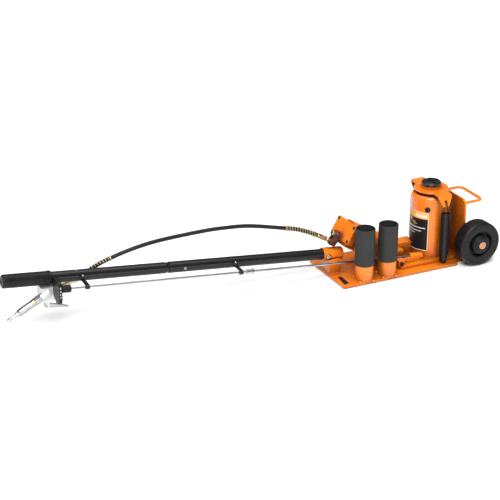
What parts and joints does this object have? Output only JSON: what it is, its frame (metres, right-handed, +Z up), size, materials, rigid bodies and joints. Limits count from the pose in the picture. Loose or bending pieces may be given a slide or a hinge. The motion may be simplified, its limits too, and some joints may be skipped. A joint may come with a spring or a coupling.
{
  "type": "bottle jack",
  "caption": "wheeled air-hydraulic bottle jack on a steel base plate, with a sloping air motor, return springs, adapter tubes, and a long bar handle carrying hose, valve and release knob",
  "frame": {"origin": "on the ram's axis, at the underside of the base plate", "axes": "+X towards the wheels, the handle points to -X, +Z up along the ram"},
  "size_m": [1.6498, 0.332, 0.2665],
  "materials": {
    "orange_paint": "glossy orange paint",
    "black_paint": "satin black paint",
    "black_rubber": "dark grey moulded rubber",
    "wheel_rubber": "solid black rubber",
    "bright_zinc": "bright zinc plate",
    "aluminium": "machined aluminium",
    "brass": "turned brass",
    "yellow_zinc": "yellow zinc plate",
    "dark_zinc": "dark brown zinc plate",
    "black_plastic": "black moulded plastic",
    "label": "printed label with plain bars",
    "ground_steel": "ground and polished steel"
  },
  "bodies": {
    "chassis": {"base_plate": "orange_paint", "back_plate": "orange_paint", "carry_handle": "orange_paint", "axle": "orange_paint", "axle_bracket": "orange_paint", "handle_socket": "orange_paint", "socket_bracket": "orange_paint", "peg_long": "orange_paint", "peg_short": "orange_paint", "jack_base": "orange_paint", "reservoir": "orange_paint", "top_cap": "orange_paint", "motor_housing": "orange_paint", "motor_end_plate": "orange_paint", "lower_tube": "black_paint", "upper_tube": "black_paint", "rod_clip_jack_end": "black_paint", "rod_clip_grip_end": "black_paint", "base_plug": "black_paint", "filler_plug": "black_paint", "end_plate_screw_1": "black_paint", "end_plate_screw_2": "black_paint", "end_plate_screw_3": "black_paint", "end_plate_screw_4": "black_paint", "hose": "black_rubber", "grip": "black_rubber", "socket_bolt": "bright_zinc", "lever_pin": "bright_zinc", "plug_nipple": "bright_zinc", "valve_body": "aluminium", "inlet_collar": "aluminium", "coupler_body": "aluminium", "brass_ring": "brass", "hose_fitting_motor": "yellow_zinc", "hose_fitting_valve": "yellow_zinc", "hose_guard_motor": "yellow_zinc", "hose_guard_valve": "yellow_zinc", "banjo_bolt": "yellow_zinc", "inlet_elbow": "dark_zinc", "valve_bracket": "dark_zinc", "reservoir_label": "label", "pressure_cylinder": "ground_steel"},
    "ram": {"ram": "ground_steel", "yoke": "orange_paint", "spring_near": "black_paint", "spring_far": "black_paint"},
    "saddle": {"saddle": "black_paint"},
    "near_wheel": {"near_wheel_tyre": "wheel_rubber", "near_wheel_hub": "black_plastic"},
    "far_wheel": {"far_wheel_tyre": "wheel_rubber", "far_wheel_hub": "black_plastic"},
    "adapter_long": {"adapter_long": "black_paint"},
    "adapter_short": {"adapter_short": "black_paint"},
    "release": {"release_rod": "bright_zinc", "release_knob": "black_plastic"},
    "throttle": {"throttle_lever": "aluminium"},
    "stem": {"valve_stem": "brass"},
    "piston": {"air_piston": "aluminium"},
    "button": {"snap_button": "bright_zinc"}
  },
  "joints": [
    {"name": "ram_lift", "type": "slide", "parent": "chassis", "child": "ram", "axis": [0, 0, 1], "range_m": [0, 0.12], "stiffness_N_per_m": 1200, "springref_m": -0.03, "deforming": ["spring_near", "spring_far"]},
    {"name": "saddle_swivel", "type": "hinge", "parent": "ram", "child": "saddle", "pos_m": [0, 0, 0.25], "axis": [0, 0, 1], "continuous": true},
    {"name": "near_wheel_spin", "type": "hinge", "parent": "chassis", "child": "near_wheel", "pos_m": [0.106, 0, 0.077], "axis": [0, 1, 0], "continuous": true},
    {"name": "far_wheel_spin", "type": "hinge", "parent": "chassis", "child": "far_wheel", "pos_m": [0.106, 0, 0.077], "axis": [0, 1, 0], "continuous": true},
    {"name": "adapter_long_pull", "type": "slide", "parent": "chassis", "child": "adapter_long", "axis": [0, 0, 1], "range_m": [0, 0.03]},
    {"name": "adapter_short_pull", "type": "slide", "parent": "chassis", "child": "adapter_short", "axis": [0, 0, 1], "range_m": [0, 0.03]},
    {"name": "release_turn", "type": "hinge", "parent": "chassis", "child": "release", "pos_m": [-0.1044, -0.048, 0.0327], "axis": [-0.9945, 0, 0.1046], "range_deg": [0, 360]},
    {"name": "throttle_press", "type": "hinge", "parent": "chassis", "child": "throttle", "pos_m": [-1.3375, 0.004, 0.0915], "axis": [0, -1, 0], "range_deg": [0, 8], "stiffness_Nm_per_rad": 1.5},
    {"name": "stem_slide", "type": "slide", "parent": "chassis", "child": "stem", "axis": [0, 0, 1], "range_m": [0, 0.0047]},
    {"name": "air_piston_stroke", "type": "slide", "parent": "chassis", "child": "piston", "axis": [0.866, 0, -0.5], "range_m": [0, 0.035], "stiffness_N_per_m": 400, "springref_m": -0.004},
    {"name": "snap_button_press", "type": "slide", "parent": "chassis", "child": "button", "axis": [0, 1, 0], "range_m": [0, 0.004], "stiffness_N_per_m": 500}
  ],
  "couplings": [
    {"joint": "stem_slide", "follows": "throttle_press", "m_per_rad": 0.033}
  ]
}
